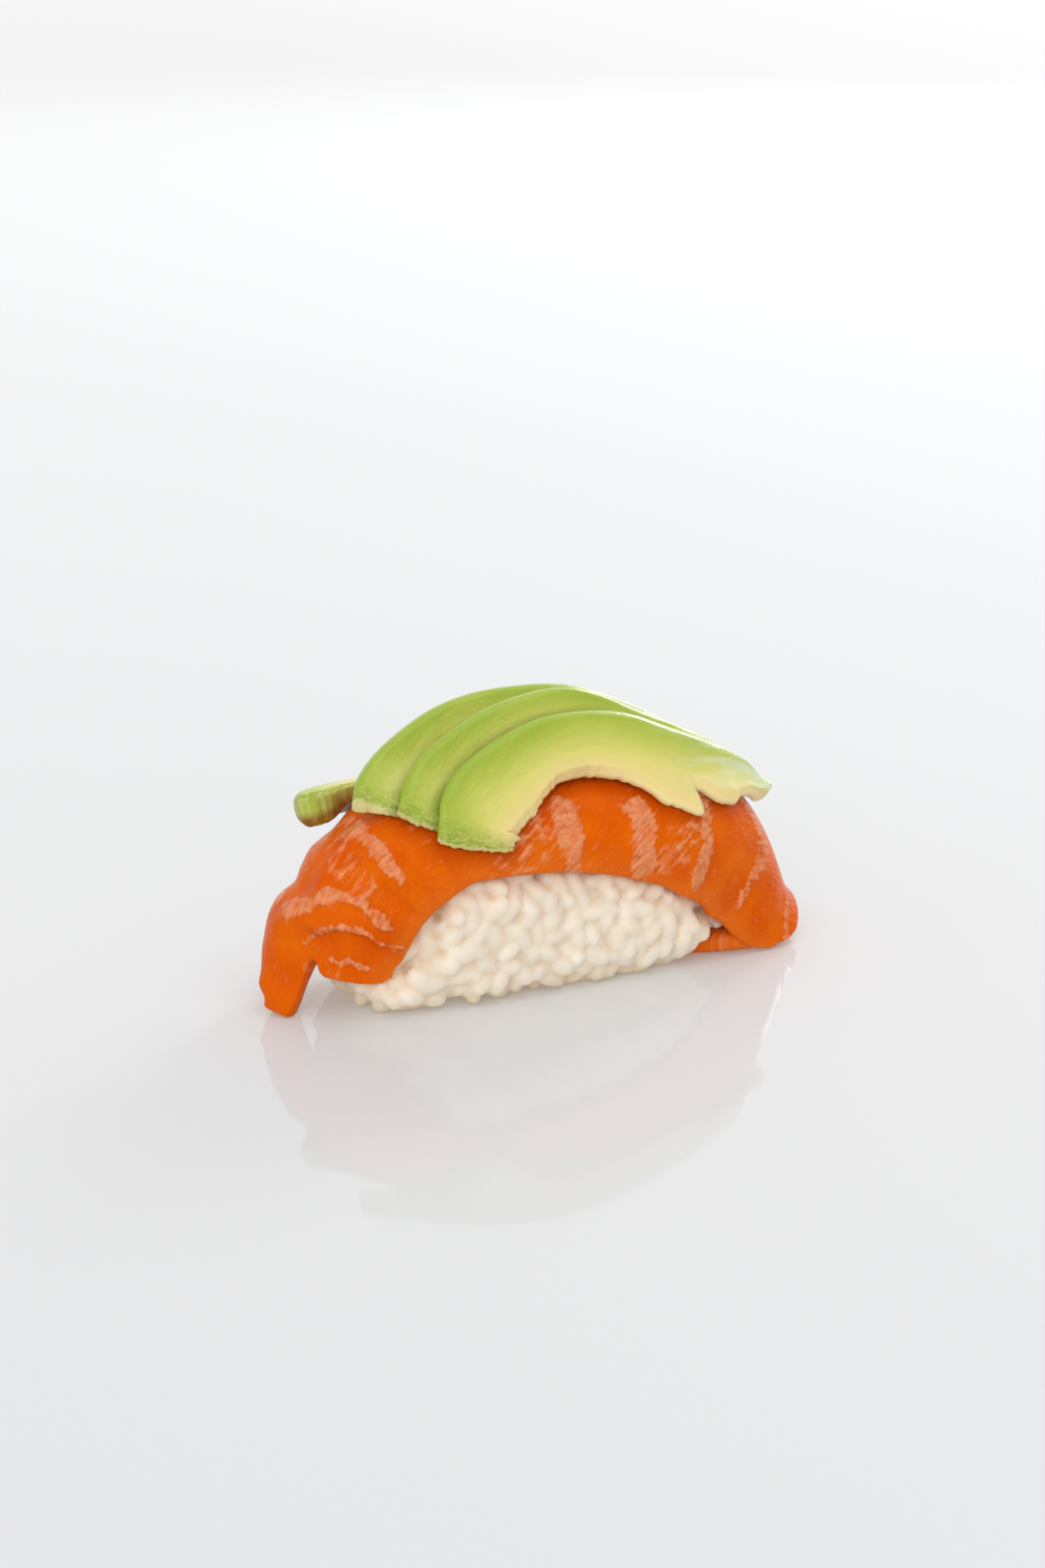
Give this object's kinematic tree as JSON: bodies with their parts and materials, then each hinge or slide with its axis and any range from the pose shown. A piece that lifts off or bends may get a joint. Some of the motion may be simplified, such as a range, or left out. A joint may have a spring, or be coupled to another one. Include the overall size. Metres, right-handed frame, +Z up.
{
  "type": "salmon nigiri",
  "caption": "Nigiri sushi: a pressed log of rice under a draped slab of raw salmon, topped with a leaning fan of avocado slices.",
  "frame": {"origin": "on the ground, under the middle of the bounding box", "axes": "+Z up, +X along the rice log towards the salmon's broad end, -Y towards the side where the rice shows"},
  "size_m": [0.095, 0.0332, 0.0449],
  "materials": {
    "rice": "moist, translucent cooked rice",
    "salmon": "wet, fatty raw salmon",
    "avocado": "moist cut avocado, green at the rim and pale yellow inside"
  },
  "bodies": {
    "root": {"rice": "rice", "salmon": "salmon", "avocado_slice_1": "avocado", "avocado_slice_2": "avocado", "avocado_slice_3": "avocado", "avocado_slice_4": "avocado"}
  },
  "joints": []
}
